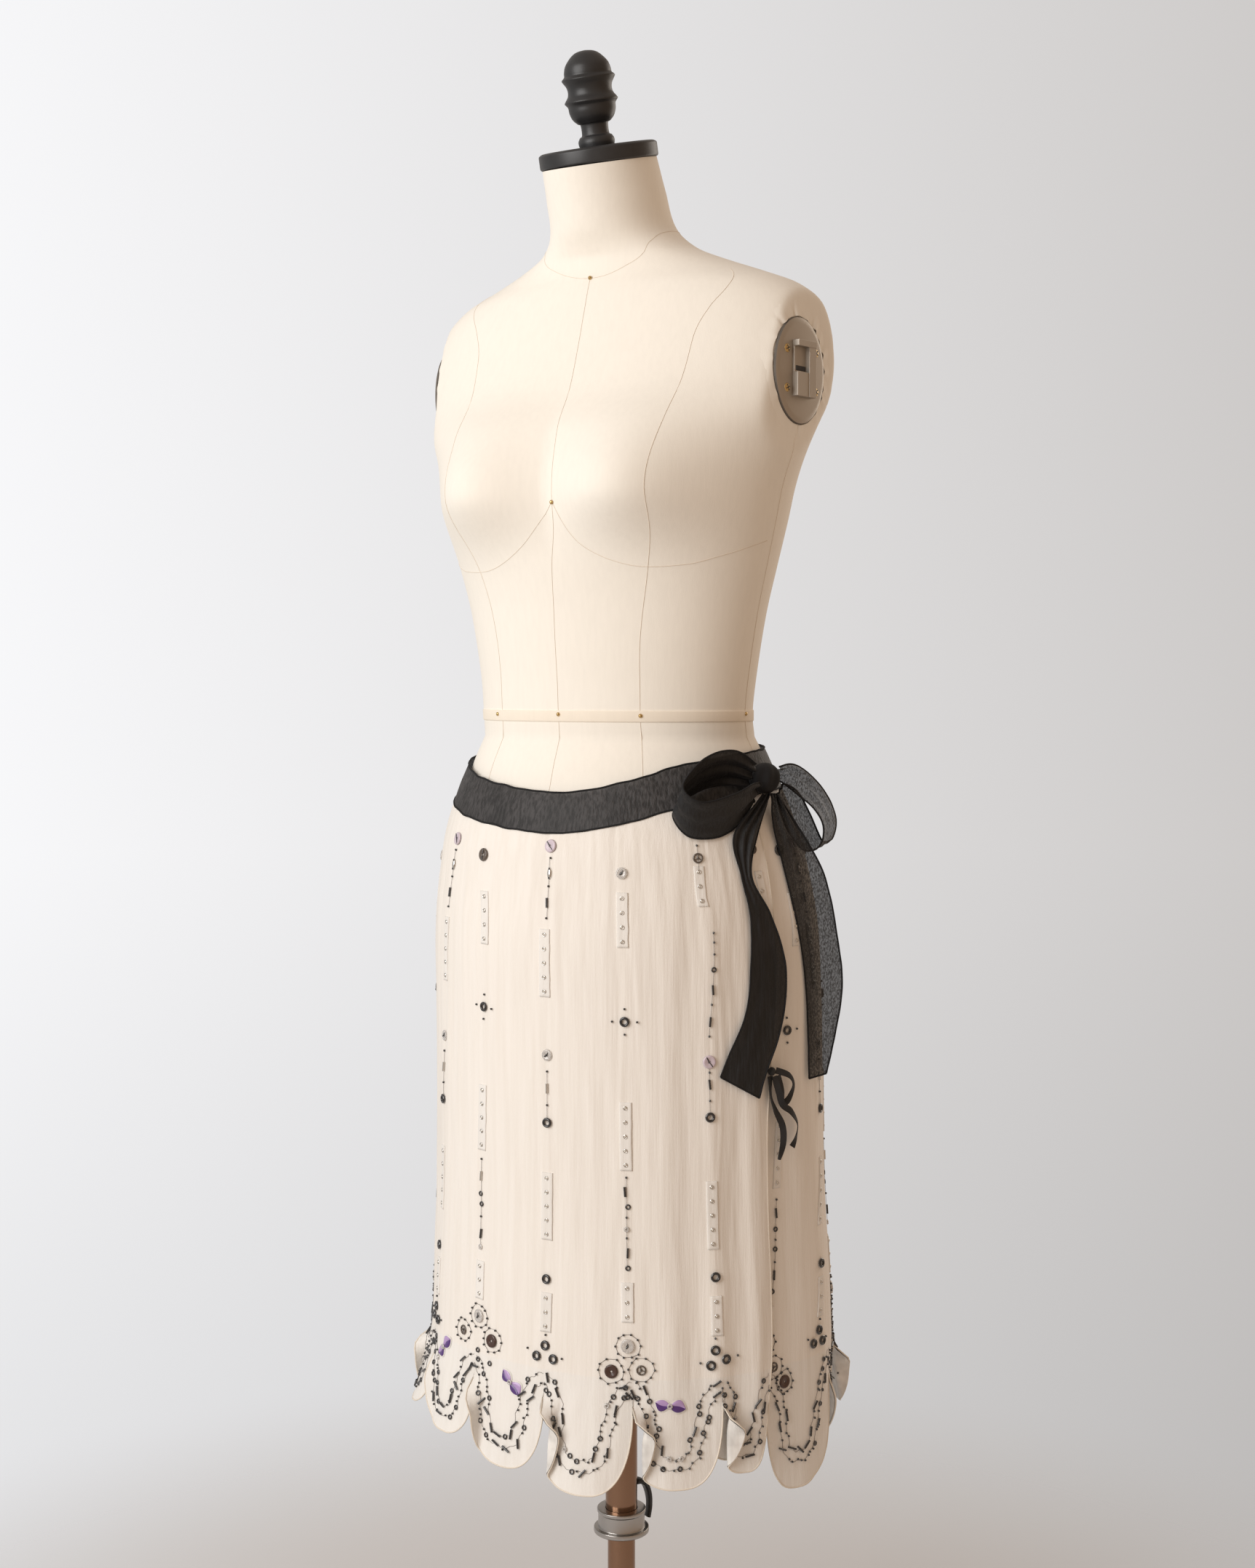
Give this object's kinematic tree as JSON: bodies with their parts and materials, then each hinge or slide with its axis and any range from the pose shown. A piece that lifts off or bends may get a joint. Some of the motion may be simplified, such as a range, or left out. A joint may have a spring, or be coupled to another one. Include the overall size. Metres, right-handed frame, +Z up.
{
  "type": "wrap skirt on a dress form",
  "caption": "Knee-length ivory silk wrap skirt with a scalloped beaded hem and a black sash bow, on a limbless dress form with a neck cap, finial and height-adjustable pole stand.",
  "frame": {"origin": "on the floor, at the centre of the base and on the pole's axis", "axes": "+Z up along the pole, the form faces -Y, and its left side is +X"},
  "size_m": [0.4152, 0.3855, 1.5971],
  "materials": {
    "silk": "crinkled ivory silk chiffon, matt",
    "slip": "plain ivory slip cloth",
    "sash": "black sheer chiffon, matt",
    "linen": "plain-woven cream linen cover",
    "black_wood": "turned wood, satin black paint",
    "steel": "polished",
    "black_metal": "satin black"
  },
  "bodies": {
    "stand": {"base": "black_metal"},
    "pole": {"lower_pole": "steel"},
    "form": {"skirt_front": "silk", "skirt_back": "silk", "hem_facing_front": "silk", "hem_facing_back": "silk", "lining": "slip", "waistband": "sash", "bow_knot": "sash", "bow_loop_front": "sash", "bow_loop_back": "sash", "tie_end_front": "sash", "tie_end_back": "sash", "side_tie_knot": "sash", "side_tie_loop": "sash", "side_tie_end_a": "sash", "side_tie_end_b": "sash", "torso": "linen", "neck_cap": "black_wood", "finial": "black_wood", "arm_plate_left": "steel", "arm_plate_right": "steel", "sleeve": "steel", "collar": "steel"},
    "lever": {"clamp_lever": "black_metal"}
  },
  "joints": [
    {"name": "swivel", "type": "hinge", "parent": "stand", "child": "pole", "pos_m": [0, 0, 0.03], "axis": [0, 0, 1], "continuous": true},
    {"name": "height", "type": "slide", "parent": "pole", "child": "form", "axis": [0, 0, 1], "range_m": [-0.1, 0.2]},
    {"name": "clamp", "type": "hinge", "parent": "form", "child": "lever", "pos_m": [0.00709, 0.01333, 0.3075], "axis": [0.4695, 0.8829, 0], "range_deg": [-90, 90]}
  ]
}
